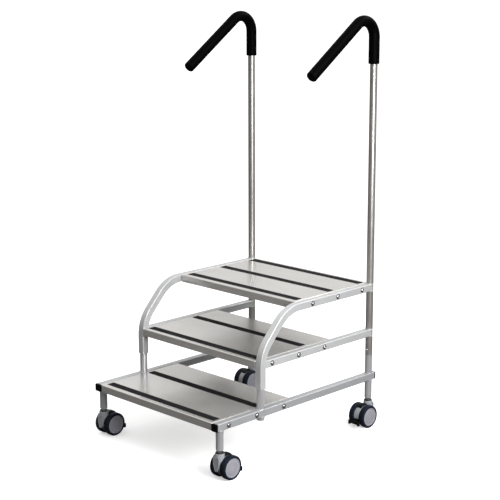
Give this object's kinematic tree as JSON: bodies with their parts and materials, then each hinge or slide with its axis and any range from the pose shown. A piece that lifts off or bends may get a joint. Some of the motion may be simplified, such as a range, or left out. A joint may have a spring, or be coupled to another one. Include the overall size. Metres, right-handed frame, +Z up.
{
  "type": "step stool",
  "caption": "Mobile step stool with wide metal treads, anti-slip strips, two tall handrails with bent grips, and braked twin-wheel swivel castors.",
  "frame": {"origin": "on the floor under the middle of the frame", "axes": "+X to the right of a person climbing, +Y from the bottom tread to the back, +Z up"},
  "size_m": [0.641, 0.775, 1.4275],
  "materials": {
    "base_frame_paint": "satin grey powder coat",
    "upper_frame_paint": "satin silver powder coat",
    "tread_metal": "satin, faintly brushed",
    "anti_slip": "gritty matt black",
    "grip_sleeve": "smooth satin black",
    "end_plug": "moulded black",
    "bright_steel": "zinc plated",
    "stem_chrome": "bright plated",
    "black_plastic": "moulded black",
    "castor_hood": "silver grey moulding",
    "tyre": "soft dark grey tread",
    "castor_hub": "light grey moulding"
  },
  "bodies": {
    "frame": {"anti_slip_strips": "anti_slip", "base_rail_front_left": "base_frame_paint", "base_rail_front_right": "base_frame_paint", "base_rail_rear_left": "base_frame_paint", "base_rail_rear_right": "base_frame_paint", "base_rail_tails": "base_frame_paint", "castor_stems": "stem_chrome", "front_leg_left": "base_frame_paint", "front_leg_right": "base_frame_paint", "front_post_left": "base_frame_paint", "front_post_right": "base_frame_paint", "grip_left": "grip_sleeve", "grip_right": "grip_sleeve", "handrail_left": "upper_frame_paint", "handrail_right": "upper_frame_paint", "joint_screws": "bright_steel", "middle_rail_left": "upper_frame_paint", "middle_rail_right": "upper_frame_paint", "post_spigots": "bright_steel", "rail_end_plugs": "end_plug", "rear_post_left": "base_frame_paint", "rear_post_right": "base_frame_paint", "rivet_nuts": "bright_steel", "side_arch_left": "upper_frame_paint", "side_arch_right": "upper_frame_paint", "stem_sockets": "bright_steel", "swivel_seals": "black_plastic", "tread_bottom": "tread_metal", "tread_middle": "tread_metal", "tread_screws": "bright_steel", "tread_top": "tread_metal"},
    "castor_front_left_swivel": {"castor_front_left_hood": "castor_hood", "castor_front_left_axle": "bright_steel"},
    "castor_front_left_brake": {"castor_front_left_pedal": "black_plastic"},
    "castor_front_left_wheel_outer": {"castor_front_left_tyre_outer": "tyre", "castor_front_left_hub_outer": "castor_hub"},
    "castor_front_left_wheel_inner": {"castor_front_left_tyre_inner": "tyre", "castor_front_left_hub_inner": "castor_hub"},
    "castor_front_right_swivel": {"castor_front_right_hood": "castor_hood", "castor_front_right_axle": "bright_steel"},
    "castor_front_right_brake": {"castor_front_right_pedal": "black_plastic"},
    "castor_front_right_wheel_outer": {"castor_front_right_tyre_outer": "tyre", "castor_front_right_hub_outer": "castor_hub"},
    "castor_front_right_wheel_inner": {"castor_front_right_tyre_inner": "tyre", "castor_front_right_hub_inner": "castor_hub"},
    "castor_rear_left_swivel": {"castor_rear_left_hood": "castor_hood", "castor_rear_left_axle": "bright_steel"},
    "castor_rear_left_brake": {"castor_rear_left_pedal": "black_plastic"},
    "castor_rear_left_wheel_outer": {"castor_rear_left_tyre_outer": "tyre", "castor_rear_left_hub_outer": "castor_hub"},
    "castor_rear_left_wheel_inner": {"castor_rear_left_tyre_inner": "tyre", "castor_rear_left_hub_inner": "castor_hub"},
    "castor_rear_right_swivel": {"castor_rear_right_hood": "castor_hood", "castor_rear_right_axle": "bright_steel"},
    "castor_rear_right_brake": {"castor_rear_right_pedal": "black_plastic"},
    "castor_rear_right_wheel_outer": {"castor_rear_right_tyre_outer": "tyre", "castor_rear_right_hub_outer": "castor_hub"},
    "castor_rear_right_wheel_inner": {"castor_rear_right_tyre_inner": "tyre", "castor_rear_right_hub_inner": "castor_hub"}
  },
  "joints": [
    {"name": "castor_front_left_turn", "type": "hinge", "parent": "frame", "child": "castor_front_left_swivel", "pos_m": [-0.2875, -0.3625, 0.09], "axis": [0, 0, 1], "continuous": true},
    {"name": "castor_front_left_roll_outer", "type": "hinge", "parent": "castor_front_left_swivel", "child": "castor_front_left_wheel_outer", "pos_m": [-0.2875, -0.3365, 0.04], "axis": [1, 0, 0], "continuous": true},
    {"name": "castor_front_left_roll_inner", "type": "hinge", "parent": "castor_front_left_swivel", "child": "castor_front_left_wheel_inner", "pos_m": [-0.2875, -0.3365, 0.04], "axis": [1, 0, 0], "continuous": true},
    {"name": "castor_front_left_brake_press", "type": "hinge", "parent": "castor_front_left_swivel", "child": "castor_front_left_brake", "pos_m": [-0.2875, -0.3185, 0.036], "axis": [-1, 0, 0], "range_deg": [0, 12]},
    {"name": "castor_front_right_turn", "type": "hinge", "parent": "frame", "child": "castor_front_right_swivel", "pos_m": [0.2875, -0.3625, 0.09], "axis": [0, 0, 1], "continuous": true},
    {"name": "castor_front_right_roll_outer", "type": "hinge", "parent": "castor_front_right_swivel", "child": "castor_front_right_wheel_outer", "pos_m": [0.2875, -0.3365, 0.04], "axis": [1, 0, 0], "continuous": true},
    {"name": "castor_front_right_roll_inner", "type": "hinge", "parent": "castor_front_right_swivel", "child": "castor_front_right_wheel_inner", "pos_m": [0.2875, -0.3365, 0.04], "axis": [1, 0, 0], "continuous": true},
    {"name": "castor_front_right_brake_press", "type": "hinge", "parent": "castor_front_right_swivel", "child": "castor_front_right_brake", "pos_m": [0.2875, -0.3185, 0.036], "axis": [-1, 0, 0], "range_deg": [0, 12]},
    {"name": "castor_rear_left_turn", "type": "hinge", "parent": "frame", "child": "castor_rear_left_swivel", "pos_m": [-0.2875, 0.3625, 0.09], "axis": [0, 0, 1], "continuous": true},
    {"name": "castor_rear_left_roll_outer", "type": "hinge", "parent": "castor_rear_left_swivel", "child": "castor_rear_left_wheel_outer", "pos_m": [-0.2875, 0.3365, 0.04], "axis": [1, 0, 0], "continuous": true},
    {"name": "castor_rear_left_roll_inner", "type": "hinge", "parent": "castor_rear_left_swivel", "child": "castor_rear_left_wheel_inner", "pos_m": [-0.2875, 0.3365, 0.04], "axis": [1, 0, 0], "continuous": true},
    {"name": "castor_rear_left_brake_press", "type": "hinge", "parent": "castor_rear_left_swivel", "child": "castor_rear_left_brake", "pos_m": [-0.2875, 0.3185, 0.036], "axis": [1, 0, 0], "range_deg": [0, 12]},
    {"name": "castor_rear_right_turn", "type": "hinge", "parent": "frame", "child": "castor_rear_right_swivel", "pos_m": [0.2875, 0.3625, 0.09], "axis": [0, 0, 1], "continuous": true},
    {"name": "castor_rear_right_roll_outer", "type": "hinge", "parent": "castor_rear_right_swivel", "child": "castor_rear_right_wheel_outer", "pos_m": [0.2875, 0.3365, 0.04], "axis": [1, 0, 0], "continuous": true},
    {"name": "castor_rear_right_roll_inner", "type": "hinge", "parent": "castor_rear_right_swivel", "child": "castor_rear_right_wheel_inner", "pos_m": [0.2875, 0.3365, 0.04], "axis": [1, 0, 0], "continuous": true},
    {"name": "castor_rear_right_brake_press", "type": "hinge", "parent": "castor_rear_right_swivel", "child": "castor_rear_right_brake", "pos_m": [0.2875, 0.3185, 0.036], "axis": [1, 0, 0], "range_deg": [0, 12]}
  ]
}
